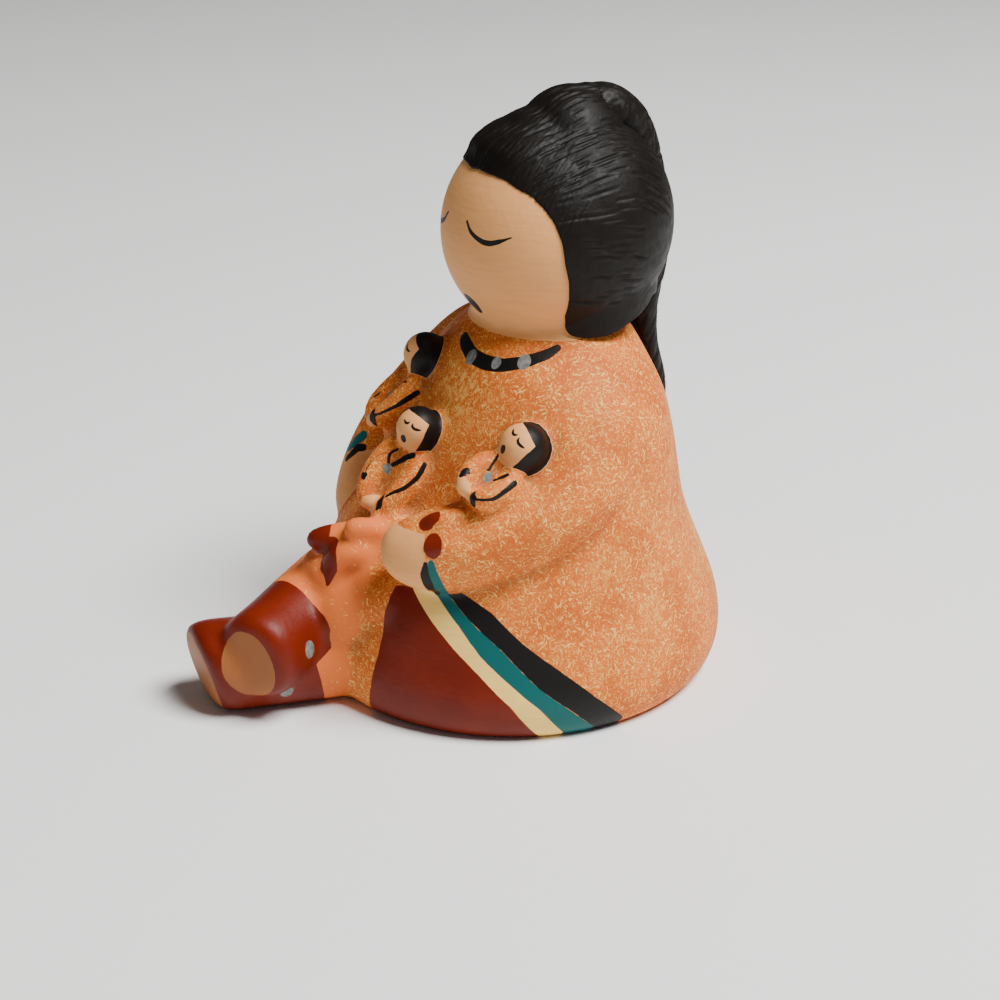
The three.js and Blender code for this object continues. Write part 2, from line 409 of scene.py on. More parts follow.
def neighbour_means(mesh):
    """A function that gives each vertex the mean of its neighbours' values."""
    pairs = np.empty(len(mesh.edges) * 2, int)
    mesh.edges.foreach_get("vertices", pairs)
    a, b = pairs.reshape(-1, 2).T
    ends, others = np.concatenate([a, b]), np.concatenate([b, a])
    count = np.bincount(ends, minlength=len(mesh.vertices)).clip(1)

    def means(values):
        sums = [np.bincount(ends, column[others], len(count)) for column in values.T]
        return np.stack(sums, axis=1) / count[:, None]

    return means


def remeshed(mesh, voxel):
    """A closed skin round everything in a mesh, in faces of about one size."""
    clay = bpy.data.objects.new("clay", mesh)
    bpy.context.scene.collection.objects.link(clay)
    remesh = clay.modifiers.new("fuse", "REMESH")
    remesh.mode = "VOXEL"
    remesh.voxel_size = voxel
    depsgraph = bpy.context.evaluated_depsgraph_get()
    skin = bpy.data.meshes.new_from_object(clay.evaluated_get(depsgraph))
    bpy.data.objects.remove(clay)
    return skin


def fill_creases(skin, rounds):
    """Moves points in hollows out to their neighbours, and in every other round eases the rest."""
    means = neighbour_means(skin)
    for turn in range(rounds):
        places, out = coordinates(skin), normals(skin)
        move = means(places) - places
        height = (move * out).sum(axis=1, keepdims=True)
        hollow = np.clip(height / CREASE_DEPTH, 0, 1)
        ease = EASE_PULL if turn % 2 else 0.0
        set_coordinates(skin, places + move * (ease + (CREASE_PULL - ease) * hollow))
    places = coordinates(skin)
    places[:, 2] = places[:, 2].clip(0)
    set_coordinates(skin, places)


fused = remeshed(mesh_from(lumps, "clay"), FUSE_VOXEL)
fill_creases(fused, CREASE_ROUNDS)
print("The fused clay has", len(fused.polygons), "faces")

# %% [markdown]
# ## One even skin to paint on
#
# The bell's back needs few faces and the painted eyelids need many. So the skin is laid over the
# fused clay again in wide faces, and those near a paint edge are halved until a brush stroke is a
# few faces wide. Every new point is put back on the fused clay, so the form doesn't change.

# %% A skin of wide faces
SKIN_VOXEL = 1.1 * MM

fused_corners = [tuple(face.vertices) for face in fused.polygons]
fused_form = BVHTree.FromPolygons([tuple(vertex.co) for vertex in fused.vertices], fused_corners)


def on_clay(places):
    """The nearest places on the fused clay, and which way it faces there."""
    found = [fused_form.find_nearest(Vector(place)) for place in places]
    return np.array([hit[0] for hit in found]), np.array([hit[1] for hit in found])


skin_mesh = remeshed(fused, SKIN_VOXEL)
set_coordinates(skin_mesh, on_clay(coordinates(skin_mesh))[0])
print("The wide skin has", len(skin_mesh.polygons), "faces")

# %% [markdown]
# ## Laying out the paint
#
# The figure is painted by hand with slips and acrylics: plain areas first, outlines and small marks
# last. Each colour is a field on the skin, the distance in shares from its edge, positive inside.
# A field is smooth where a painted picture of black and white pixels would be stepped, so the
# shader can cut a crisp brush edge from it at any size.

# %% Brushes
OUTSIDE = -3.0


def stroke(line, half_widths):
    """A brush stroke through places on the figure, thick or thin as its half widths say."""
    line = np.array(line, float)
    count = 2 + int(np.linalg.norm(np.diff(line, axis=0), axis=1).sum() / 0.1)
    share = np.linspace(0, 1, count)
    path = on_clay(along(line, share))[0]
    widths = np.interp(share, np.linspace(0, 1, len(half_widths)), half_widths)
    return path, widths


def close_to(points, low, high):
    return np.flatnonzero(((points > low) & (points < high)).all(axis=1))


def stroke_field(strokes, points):
    field = np.full(len(points), OUTSIDE)
    for path, widths in strokes:
        tree = KDTree(len(path))
        for i, place in enumerate(path):
            tree.insert(place, i)
        tree.balance()
        for i in close_to(points, path.min(axis=0) - 2, path.max(axis=0) + 2):
            nearest = tree.find(points[i])
            field[i] = max(field[i], widths[nearest[1]] - nearest[2])
    return field


def spot_field(spots, points):
    """Round spots of [centre, upright direction, half width, half height]."""
    field = np.full(len(points), OUTSIDE)
    for centre, upright, half_width, half_height in spots:
        (centre,), (out,) = on_clay([centre])
        up = unit(upright - out * (out @ upright))
        across = np.cross(up, out)
        near = close_to(points, centre - 2 * half_height - 1, centre + 2 * half_height + 1)
        moved = points[near] - centre
        ring = np.hypot(moved @ across / half_width, moved @ up / half_height)
        ring += np.abs(moved @ out) / 20
        field[near] = np.maximum(field[near], (1 - ring) * min(half_width, half_height))
    return field.clip(OUTSIDE)


# %% Which lump a place belongs to
face_parts = np.array(part_of_face)
lump_corners = [[vertex.index for vertex in face.verts] for face in lumps.faces]
lump_places = [tuple(vertex.co) for vertex in lumps.verts]
print("The lumps of clay make", len(set(part_of_face)), "parts")


def lump_tree(chosen):
    return BVHTree.FromPolygons(lump_places, [lump_corners[i] for i in np.flatnonzero(chosen)])


def part_field(parts, points):
    """How much nearer places lie to these lumps than to all the others: zero in the crease."""
    chosen = np.isin(face_parts, parts)
    own, others = lump_tree(chosen), lump_tree(~chosen)
    own_places = np.array([lump_places[c] for i in np.flatnonzero(chosen) for c in lump_corners[i]])
    field = np.full(len(points), OUTSIDE)
    for i in close_to(points, own_places.min(axis=0) - 1, own_places.max(axis=0) + 1):
        field[i] = others.find_nearest(points[i])[3] - own.find_nearest(points[i])[3]
    return field.clip(OUTSIDE)


def beyond(points, direction, distance):
    """How far places lie beyond a plane cut: positive past it."""
    return points @ unit(direction) - distance


# %% [markdown]
# ## Where each colour goes
#
# Most marks were measured on the figure's left, which the photo shows. The eyelids, the skirt's
# stripes and the edge of the children's hair are alike on both sides, as a potter would paint them,
# so their tables hold one side. The three children share one painted face, turned to each child,
# and the strokes on their dresses are laid one by one.

# %% The mother's face, necklace and cuffs, and small feet
FACE_TURN = 5
FACE_EYE = [[10.2, 13.6], [14.4, 9], [21, 6], [26.2, 5.5], [31.9, 7.1], [38.9, 10]]
EYE_WIDTHS = [0.26, 0.38, 0.44, 0.44, 0.38, 0.14]
FACE_MOUTH = [-0.3, -36]
NECKLACE = [
    [-0.6, -14.2, 59.1], [0.9, -14.6, 58.6], [4, -14.9, 57.7], [6.6, -14.5, 57.4],
    [9.2, -13.5, 57.4], [11.3, -12.1, 57.7], [13.4, -9.5, 58.6], [14.4, -6.4, 59.6],
    [14.4, -4.2, 60.5],
]
NECKLACE_DISCS = [[4.4, -15.1, 57.3], [9.8, -13, 57.7], [13.3, -9.6, 58.5]]
BUTTONS = [[10.7, -47.3, 12.8], [9.2, -51.1, 4.8]]
LEFT_CUFF = [
    [23.7, -31.7, 31.1], [23.6, -31.8, 29.2], [23.1, -31, 27], [22, -29.8, 25.2], [21, -28.7, 24],
]
LEFT_CUFF_TRIM = [[24.3, -31, 31.4], [24.3, -30.7, 29.4], [24, -29.8, 27.2], [21.7, -27.8, 24.2]]
RIGHT_CUFF = [[-20, -28.6, 32.2], [-19.2, -27.8, 33.6], [-18.7, -27.0, 34.5], [-17.8, -26.4, 34.8]]
RIGHT_CUFF_TRIM = [[-21.6, -27.9, 33.4], [-20.3, -27, 35.2], [-19.2, -25.8, 36.4]]
ARM_CHILD_FOOT = [[21.8, -29.8, 38.7], [21.3, -30.4, 37.2]]
LAP_CHILD_FOOT = [[4.1, -40.9, 27.9], [5.3, -41.5, 26.4], [5.9, -41.8, 24.2], [5.7, -42, 21.6]]
print("The necklace is measured at", len(NECKLACE), "places")

# %% The skirt's stripes
# Each edge runs from the floor up: its height, and its angle from the front round the bell's axis
SKIRT_AXIS_Y = -4
STRIPES_TOP = 29
STRIPE_SLANT = 0.8
SKIRT_EDGES = {
    "panel_front": [[1, 22], [6, 23.8], [12, 24.8], [18, 25.4], [21, 26.4], [30, 27]],
    "panel_back": [
        [0, 71], [2.6, 67.9], [7.1, 62.8], [12.2, 54.1], [18.1, 42.6], [23.4, 32.3], [30, 20],
    ],
    "cream_back": [
        [1.2, 76.7], [6.6, 70.2], [10.7, 62.7], [14.6, 55.2], [19.4, 47.9], [24, 39.3], [30, 28],
    ],
    "teal_back": [
        [1.5, 85.4], [6.1, 77.9], [10.1, 70], [16.2, 60.1], [21.8, 48], [24.2, 43.3], [30, 32],
    ],
    "black_back": [
        [2.3, 93.9], [7, 86.1], [11.2, 78.7], [17.6, 65.1], [21.9, 57], [24.4, 48.3], [30, 36],
    ],
}


def stripe(points, front, back):
    """The band of the skirt between two of its edges, the same on both sides."""
    aside, ahead = np.abs(points[:, 0]), SKIRT_AXIS_Y - points[:, 1]
    angle = np.degrees(np.arctan2(aside, ahead))
    edges = []
    for name in (front, back):
        heights, angles = np.array(SKIRT_EDGES[name]).T
        edges.append(np.interp(points[:, 2], heights, angles))
    inside = np.minimum(angle - edges[0], edges[1] - angle)
    return np.radians(inside) * np.hypot(aside, ahead) * STRIPE_SLANT


print("The stripes reach the floor at", [edge[0][1] for edge in SKIRT_EDGES.values()], "degrees")

# %% One face for every child, and each child's dress
CHILD_EYE = [[7, 16], [10, 11], [17, 8.5], [25, 10], [33, 13]]
CHILD_MOUTH = [2, -35]
CHILD_FACE = [[0, 42], [14, 42], [51, 36], [50, 5], [57, -32], [60, -46], [68, -56], [80, -60]]
CHILD_FACE += [[94, -56], [106, -46], [108, -88], [0, -88]]
CHILD_PAINT = {
    "arm_child": {
        "face": [0.36, -0.7, 0.62],
        "up": [0.32, 0.71, 0.63],
        "collar": [
            [[22.4, -18.5, 47.2], [23, -19.5, 46.3], [23.6, -20.5, 45.5]],
            [[25.7, -18.6, 45.3], [25.4, -19.6, 45], [24.8, -20.5, 44.7]],
        ],
        "sleeves": [
            [
                [27.6, -17.6, 44.2], [27.9, -18.6, 43.8], [28, -19.6, 43.3], [28, -21.5, 42.4],
                [27.6, -22.9, 42.2], [26.4, -24.2, 42.1],
            ],
        ],
        "cuffs": [
            [[25.4, -24.1, 43.1], [26, -24.5, 42.2], [26, -24.6, 41], [25.4, -24.4, 39.6]],
            [[22.6, -25, 44.8], [22.8, -24.2, 45.6], [23.2, -23.6, 45.2]],
        ],
        "dot": [24.2, -21.1, 44.7],
        "hand": [[23.8, -24.9, 42.5], [-1.5, -0.8, 4.7], 1.15, 2.9],
    },
    "lap_child": {
        "face": [0.52, -0.78, 0.35],
        "up": [0.14, 0.48, 0.87],
        "collar": [
            [[2.4, -27.8, 42.3], [2, -28.8, 41.6], [2.2, -29.3, 40.7], [2.5, -29.5, 39.9]],
            [[5.3, -26.2, 41.9], [4.4, -27.1, 41.5], [3.7, -28, 40.8], [3, -29.2, 39.9]],
        ],
        "sleeves": [
            [
                [6.9, -24.7, 40.6], [7.3, -25.6, 39.6], [7.5, -26.7, 38.6], [7.2, -28.9, 37.1],
                [6.6, -30.5, 36.4], [6, -31.5, 35.8],
            ],
            [
                [1.5, -29.5, 41.6], [1, -30.7, 41.1], [0.7, -31.9, 40.2], [0.7, -32.6, 39.4],
                [0.9, -33.3, 38.4],
            ],
        ],
        "cuffs": [
            [[4.3, -31.9, 36.4], [5.2, -32.4, 35.4], [5.6, -32.4, 34.2], [5.2, -32.6, 33.2]],
            [[1.2, -33.2, 38.2], [0.6, -33.9, 37.6]],
        ],
        "dot": [2.7, -29.9, 39.1],
        "hand": [[3.4, -33, 33.2], [0, 0, 1], 1.6, 2.1],
    },
    "upper_child": {
        "face": [-0.32, -0.86, 0.39],
        "up": [0.42, 0.24, 0.88],
        "collar": [[[-9.5, -23.1, 48.4], [-8, -22.8, 49.5], [-6.8, -22.2, 50.1]]],
        "sleeves": [
            [
                [-5.4, -20.9, 48.6], [-5.6, -22.5, 47.8], [-6, -24, 46.8], [-7, -25.8, 45.6],
                [-8.6, -27.3, 44.3],
            ],
            [[-12.5, -24.8, 46.7], [-13, -25.6, 45.8]],
        ],
        "cuffs": [[[-9.3, -27, 45.2], [-8.9, -27.6, 43.9], [-8.8, -27.1, 42.6]]],
        "dot": [-10.6, -24.2, 47],
        "hand": [[-9.8, -27.6, 43.3], [0.2, 0.2, 1], 1, 1.6],
    },
}
COLLAR_WIDTHS = [[0.22, 0.26, 0.24], [0.5, 0.5, 0.34]]
SLEEVE_WIDTHS = [[0.46, 0.52, 0.46, 0.34, 0.24, 0.18], [0.08, 0.1, 0.1, 0.1]]
CUFF_WIDTHS = [0.35, 0.75, 0.7, 0.15]
print("A child's face has its hair's edge at", len(CHILD_FACE), "places")

# %% Finding places on a head
def face_ways(face, up):
    """Which ways are ahead, up and left for a face that is turned to the front."""
    ahead = unit(face)
    crown = unit(np.subtract(up, ahead * (ahead @ up)))
    return ahead, crown, np.cross(crown, ahead)


def head_place(centre, radius, face, up, azimuth, latitude):
    """A place on a head, by its angles from the middle of the face."""
    ahead, crown, left = face_ways(face, up)
    a, b = math.radians(azimuth), math.radians(latitude)
    way = math.cos(b) * (math.cos(a) * ahead + math.sin(a) * left) + math.sin(b) * crown
    return centre + radius * way


def head_angles(ways, face, up):
    """The two angles from the middle of the face of ways out of a head's centre."""
    ahead, crown, left = face_ways(face, up)
    azimuth = np.degrees(np.arctan2(ways @ left, ways @ ahead))
    return azimuth, np.degrees(np.arcsin((ways @ crown).clip(-1, 1)))


# %% A child's hair
EDGE_PLACES = 40


def child_hair_field(child, paint, points):
    """Hair covers a child's head outside of its face, and its edge keeps to the head."""
    head, radius = np.array(child["head"]), child["head_radius"]
    side = np.array(CHILD_FACE, float)
    corners = np.vstack([side, side[::-1] * [-1, 1]])
    field = np.full(len(points), OUTSIDE)
    near = close_to(points, head - radius - 1, head + radius + 1)
    ways = points[near] - head
    ways = ways / np.linalg.norm(ways, axis=1)[:, None]
    azimuth, latitude = head_angles(ways, paint["face"], paint["up"])
    inside = np.zeros(len(near), bool)
    tree = KDTree(EDGE_PLACES * len(corners))
    for i, (a, b) in enumerate(zip(corners, np.roll(corners, -1, axis=0))):
        crosses = (a[1] > latitude) != (b[1] > latitude)
        rise = (b[1] - a[1]) or 1
        inside ^= crosses & (azimuth < a[0] + (latitude - a[1]) / rise * (b[0] - a[0]))
        for j in range(EDGE_PLACES):
            spot = a + (b - a) * j / EDGE_PLACES
            edge_place = head_place(head, 1, paint["face"], paint["up"], *spot)
            tree.insert(edge_place - head, EDGE_PLACES * i + j)
    tree.balance()
    gap = radius * np.array([tree.find(way)[2] for way in ways])
    field[near] = np.where(inside, -gap, gap)
    return field


# %% Strokes and spots
UPRIGHT = np.array([0, 0, 1])

black_strokes = [
    stroke(LEFT_CUFF, [0.4, 0.76, 0.8, 0.7, 0.55]),
    stroke(RIGHT_CUFF, [0.6, 0.75, 0.7]),
    stroke(NECKLACE, [0.95, 1.2, 1.3, 1.3, 1.28, 1.22, 1.15, 1.0, 0.65]),
]
rust_strokes = [
    stroke(ARM_CHILD_FOOT, [1.3, 1.5]),
    stroke(LAP_CHILD_FOOT, [1.6, 1.75, 1.4, 0.35]),
]
teal_strokes = [
    stroke(LEFT_CUFF_TRIM, [0.5, 0.88, 0.95, 0.9]),
    stroke(RIGHT_CUFF_TRIM, [0.9, 1.1, 1]),
]
face = (HEAD_CENTRE, HEAD_RADIUS, (0, -1, 0), UPRIGHT)
for side in (1, -1):
    eye = [head_place(*face, FACE_TURN + side * azimuth, latitude) for azimuth, latitude in FACE_EYE]
    black_strokes.append(stroke(eye, EYE_WIDTHS))
mouth = head_place(*face, FACE_TURN + FACE_MOUTH[0], FACE_MOUTH[1])
black_spots = [[mouth, UPRIGHT, 2.1, 2.2]]
disc_sizes = zip(NECKLACE_DISCS, [1.15, 0.9, 1.15])
silver_spots = [[centre, UPRIGHT, half, 1.25 * half] for centre, half in disc_sizes]
silver_spots += [[centre, UPRIGHT, 1.15, 1.6] for centre in BUTTONS]

for child in CHILDREN:
    paint = CHILD_PAINT[child["name"]]
    head = (np.array(child["head"]), child["head_radius"], paint["face"], paint["up"])
    for middle, side in ((2, 1), (4, -0.8)):
        eye = [head_place(*head, middle + side * turn, latitude) for turn, latitude in CHILD_EYE]
        black_strokes.append(stroke(eye, [0.1, 0.22, 0.24, 0.22, 0.1]))
    black_spots.append([head_place(*head, *CHILD_MOUTH), paint["up"], 0.62, 0.85])
    black_strokes += [stroke(line, widths) for line, widths in zip(paint["collar"], COLLAR_WIDTHS)]
    black_strokes += [stroke(line, widths) for line, widths in zip(paint["sleeves"], SLEEVE_WIDTHS)]
    black_strokes += [stroke(line, CUFF_WIDTHS) for line in paint["cuffs"]]
    silver_spots.append([paint["dot"], UPRIGHT, 0.75, 0.9])
print("There are", len(black_strokes), "black strokes and", len(silver_spots), "silver spots")

# %% Straight edges and plain areas
LAYERS = ["plain", "skin", "rust", "sole", "cream", "teal", "black", "silver"]
# An edge that is cut by a plane: the way past it, and how far along that way it lies
PLANE_EDGES = {
    "left_wrist": ((-0.47, -0.88, -0.07), 14.5),
    "right_wrist": ((0.6, -0.3, -0.74), -28),
    "boot_top": ((0.39, -0.92, -0.05), 42.86),
    "left_boot_top": ((-0.1, -0.97, -0.21), 41.8),
    "between_boots": ((0, -0.62, 0.79), 35.9),
    "lap_child_boots": ((-0.45, -0.88, 0.1), 37.4),
}
RUST_SPOTS = [[[24.2, -30.7, 34.3], [-0.1, 0, 1], 1.6, 2.1]]
SOLE_SPOTS = [
    [[8.5, -57.2, 10.9], [-0.2, -0.15, 1], 4.8, 6.1],
    [[-2, -63.4, 5.4], UPRIGHT, 7.1, 7.9],
]
HEM_EDGE = [
    [3.4, -40.8], [9.6, -40.8], [12.6, -40.1], [15.2, -38.9], [18.4, -38.9], [22.3, -38],
    [25, -36], [30, -32],
]
PANEL_TOP = 23.6
RIGHT_STRIPES_DROP = 7
NECK_HEIGHT = 61.3
NECK_SLOPE = 0.15
NAPE_Y = 4
HEEL_Y = -46.2
HAIR_MARGIN = 0.15
HAND_TOP = 35.6
print("There are", len(LAYERS), "fields, and", len(PLANE_EDGES), "edges are plane cuts")


# %% Every colour's field
def paint_fields(points):
    """The distance in shares of every point from each colour's edge, positive inside."""
    fields = {name: np.full(len(points), OUTSIDE) for name in LAYERS}

    def add(name, *all_of):
        fields[name] = np.maximum(fields[name], np.minimum.reduce(all_of))

    x, y, z = points.T
    legs = part_field(["left_leg", "right_leg", "lap", "lap_child_leg"], points)
    add("plain", legs, np.interp(z, *np.array(HEM_EDGE).T) - y)
    above_neck = z - NECK_HEIGHT - NECK_SLOPE * (y + 1).clip(0)
    add("skin", above_neck)
    add("black", above_neck, y - NAPE_Y)
    past = {name: beyond(points, *edge) for name, edge in PLANE_EDGES.items()}
    add("skin", part_field(["left_arm"], points), past["left_wrist"], HAND_TOP - z)
    add("skin", part_field(["right_arm"], points), past["right_wrist"])
    under_boot = np.maximum(past["between_boots"], HEEL_Y - y)
    boots = part_field(["right_leg", "left_leg", "lap"], points)
    add("rust", boots, past["boot_top"], under_boot)
    add("rust", part_field(["left_leg"], points), past["left_boot_top"])
    below_stripes = STRIPES_TOP - z - RIGHT_STRIPES_DROP * (x < 0)
    body_field = np.minimum(part_field(["body", "lap"], points), below_stripes)
    add("rust", body_field, stripe(points, "panel_front", "panel_back"), PANEL_TOP - z)
    add("cream", body_field, stripe(points, "panel_back", "cream_back"))
    add("teal", body_field, stripe(points, "cream_back", "teal_back"))
    add("black", body_field, stripe(points, "teal_back", "black_back"))
    for child in CHILDREN:
        name = child["name"]
        own_head = part_field([name + "_head"], points)
        add("skin", own_head)
        add("black", own_head - HAIR_MARGIN, child_hair_field(child, CHILD_PAINT[name], points))
        hands = spot_field([CHILD_PAINT[name]["hand"]], points)
        add("skin", part_field([name + "_arm"], points), hands)
    add("rust", part_field(["lap_child_leg"], points), past["lap_child_boots"])
    add("rust", spot_field(RUST_SPOTS, points))
    add("rust", stroke_field(rust_strokes, points))
    add("sole", spot_field(SOLE_SPOTS, points))
    add("teal", stroke_field(teal_strokes, points))
    add("black", stroke_field(black_strokes, points))
    add("black", spot_field(black_spots, points))
    add("silver", spot_field(silver_spots, points))
    return {name: field.clip(OUTSIDE, -OUTSIDE) for name, field in fields.items()}


# %% [markdown]
# ## Finer faces where a brush has been
#
# A vertex holds one value of each field, and the shader blends them across a face, so an edge is
# only as crisp as the faces round it are small. A face is halved where the field in its middle
# differs from the mean of its corners: a straight edge stays on wide faces, and a tight curve or a
# thin stroke gets small ones. That keeps the skin far below the faces of an even fine mesh.

# %% Halving the faces at paint edges
REFINING = [1.6, 0.8, 0.5, 0.3]
REFINE_ERROR = 0.04


def refine(mesh, fields, reach):
    """Halves the faces that can't show their paint edge yet, and lays new points on the clay."""
    count = len(mesh.polygons)
    centres, starts, totals = np.empty(3 * count), np.empty(count, int), np.empty(count, int)
    corners = np.empty(len(mesh.loops), int)
    mesh.polygons.foreach_get("center", centres)
    mesh.polygons.foreach_get("loop_start", starts)
    mesh.polygons.foreach_get("loop_total", totals)
    mesh.loops.foreach_get("vertex_index", corners)
    guesses = {}
    for name, field in fields.items():
        guesses[name] = np.add.reduceat(field[corners], starts) / totals
    near = np.flatnonzero(np.min([np.abs(guess) for guess in guesses.values()], axis=0) < reach)
    coarse = np.zeros(len(near), bool)
    for name, middle in paint_fields(centres.reshape(-1, 3)[near]).items():
        guess = guesses[name][near]
        at_edge = np.minimum(abs(middle), abs(guess)) < reach
        coarse |= (np.abs(middle - guess) > REFINE_ERROR) & at_edge
    bm = bmesh.new()
    bm.from_mesh(mesh)
    bm.faces.ensure_lookup_table()
    chosen = {edge for i in near[coarse] for edge in bm.faces[i].edges}
    bmesh.ops.subdivide_edges(bm, edges=list(chosen), cuts=1, use_grid_fill=True)
    old = len(mesh.vertices)
    bm.to_mesh(mesh)
    bm.free()
    places = coordinates(mesh)
    places[old:] = on_clay(places[old:])[0]
    set_coordinates(mesh, places)
    added = paint_fields(places[old:])
    return {name: np.concatenate([field, added[name]]) for name, field in fields.items()}


skin_fields = paint_fields(coordinates(skin_mesh))
for reach in REFINING:
    skin_fields = refine(skin_mesh, skin_fields, reach * MM)
    triangles = sum(len(face.vertices) - 2 for face in skin_mesh.polygons)
    print("The skin has", len(skin_mesh.polygons), "faces or", triangles, "triangles")
for name, field in skin_fields.items():
    write_field(skin_mesh, name, field)
    print(f"{name:8} covers {100 * np.mean(field > 0):.1f}% of the points")

# %% [markdown]
# ## Dry brush, and painted shade in hollows
#
# Here and there the potter dragged a nearly dry brush over the dress, and the creases get painted
# shade: the clay is painted darker there, where less light comes. Both are soft, so a value at each
# vertex is enough. A hollow is where the clay lies below a blurred copy of itself.

# %% Patches of dry brush
DRY_BRUSH = [
    [[36, -2, 30], 6, 9],
    [[35, 8, 24], 6, 9],
    [[30, 8, 40], 3, 5],
    [[6, -19, 53], 8, 7],
    [[-30, 6, 34], 8, 10],
    [[-12, 22, 30], 9, 11],
    [[16, 24, 22], 8, 10],
]
points = coordinates(skin_mesh)
brushed = np.zeros(len(points))
for centre, half_width, half_height in DRY_BRUSH:
    moved = (points - centre) / [half_width, half_width, half_height]
    brushed = np.maximum(brushed, 1.3 - np.linalg.norm(moved, axis=1))
write_field(skin_mesh, "dry_brush", brushed)
print(f"The dry brush touches {100 * np.mean(brushed > 0):.0f}% of the points")

# %% Hollows, for the painted shade
BLUR_ROUNDS = 24
SOFTEN_ROUNDS = 6
HOLLOW_DEPTH = 0.5

fused_means = neighbour_means(fused)
fused_places = coordinates(fused)
blurred_places = fused_places
for _ in range(BLUR_ROUNDS):
    blurred_places = fused_means(blurred_places)
rise = ((blurred_places - fused_places) * normals(fused)).sum(axis=1)[:, None]
for _ in range(SOFTEN_ROUNDS):
    rise = fused_means(rise)
nearest_corner = [fused_corners[fused_form.find_nearest(Vector(place))[2]][0] for place in points]
# How deep each point lies in a hollow: the slip is painted darker there, as painted shade
hollow = (rise[nearest_corner, 0] / HOLLOW_DEPTH).clip(0, 1)
write_field(skin_mesh, "hollow", hollow)
print(f"{100 * np.mean(hollow > 0.3):.0f}% of the points lie in hollows")

# %% [markdown]
# ## The hair
#
# The potter lays a thicker sheet of clay over the head, draws it back to the ponytail and presses
# comb marks into it while it is wet. A ball whose pole sits under the ponytail is the natural mesh
# for such a sheet: its rings widen evenly from the pole to the hairline, so all the marks get faces
# of one size. Each point is pushed out to the hair's masses, and the last rings turn in under the
# hair's edge.

# %% Where the hair ends
HAIR_MASSES = [
    [0, 4.4, 77.6, 18.6, 17.6, 18.6],
    [0, -1.4, 84, 13.5, 13.4, 11.8],
    [0, -0.8, 87.4, 9.5, 9.5, 9.4],
    [0, 4.8, 88.5, 9.8, 9.8, 11.3],
    [0, 7.8, 93.4, 5, 5.6, 6.5],
]
HAIR_FALL = [[0, 3.6, 80, 16, 15], [0, 4.4, 70, 16.4, 15.2], [0, 5, 58, 15.4, 14]]
# The edge of the hair on the figure's left, from the middle of the forehead to the nape
HAIRLINE = [
    [0, -13.7, 88.7], [2.3, -13.3, 88.9], [4.6, -12.8, 88.7], [6.8, -11.9, 88.4],
    [8.5, -10.8, 87.9], [11.1, -9.6, 86.8], [12.7, -8.4, 86.2], [14.7, -7, 84.5],
    [16.4, -5.8, 82.3], [17.6, -4.8, 78.9], [18, -4.4, 75.3], [17.8, -3.6, 72.2], [16.4, -3, 68],
    [15.1, -2.9, 65.7], [13.9, -2.2, 63], [14.2, -1.3, 62], [15.2, 1.5, 61.5], [15.6, 4.5, 61.8],
    [15.5, 7, 62.3], [15.3, 8.6, 63.4], [11.9, 14.7, 66.5], [6, 17.6, 66.5], [0, 18.4, 66.5],
]
HAIR_CENTRE = np.array([0, 3, 77])
HAIR_LAYER = 0.45
RIM_LAYER = 0.25
POLE_RISE = math.radians(35)
HAIR_POLE = np.array([0, math.cos(POLE_RISE), math.sin(POLE_RISE)])
POLE_LEFT = np.array([1, 0, 0])
POLE_DOWN = np.cross(HAIR_POLE, POLE_LEFT)

# The hair's masses are lumps too, but apart from the body's clay
clay_lumps, lumps = lumps, bmesh.new()
for row in HAIR_MASSES:
    mass("hair", *row)
mass("hair", *HEAD_CENTRE, *[HEAD_RADIUS + HAIR_LAYER] * 3)
roll("hair", HAIR_FALL, facing=(0, 1, 0), blunt=8, sides=64)
hair_form = BVHTree.FromBMesh(lumps)
lumps.free()
lumps = clay_lumps


def pole_angles(places):
    """The angle round the hair's pole and the angle from it, seen from the hair's centre."""
    seen = np.subtract(places, HAIR_CENTRE)
    seen /= np.linalg.norm(seen, axis=1)[:, None]
    return np.arctan2(seen @ POLE_DOWN, seen @ POLE_LEFT), np.arccos((seen @ HAIR_POLE).clip(-1, 1))


edge_turn, edge_fall = pole_angles(HAIRLINE)
print("The hair ends", np.degrees(edge_fall).round().astype(int).tolist(), "degrees from its pole")

# %% The sheet of hair
HAIR_COLUMNS = 576
HAIR_RINGS = 168
HAIR_SHEET = 0.88
HAIR_EDGE = 0.03
HAIR_RIM = 0.85
HAIR_THICKNESS = 0.5
TUCK_DEPTH = 0.8
TUCK_TURN = 0.02


def step(value, low, high):
    """Rises smoothly from 0 to 1 between two values."""
    share = ((value - low) / (high - low)).clip(0, 1)
    return share * share * (3 - 2 * share)


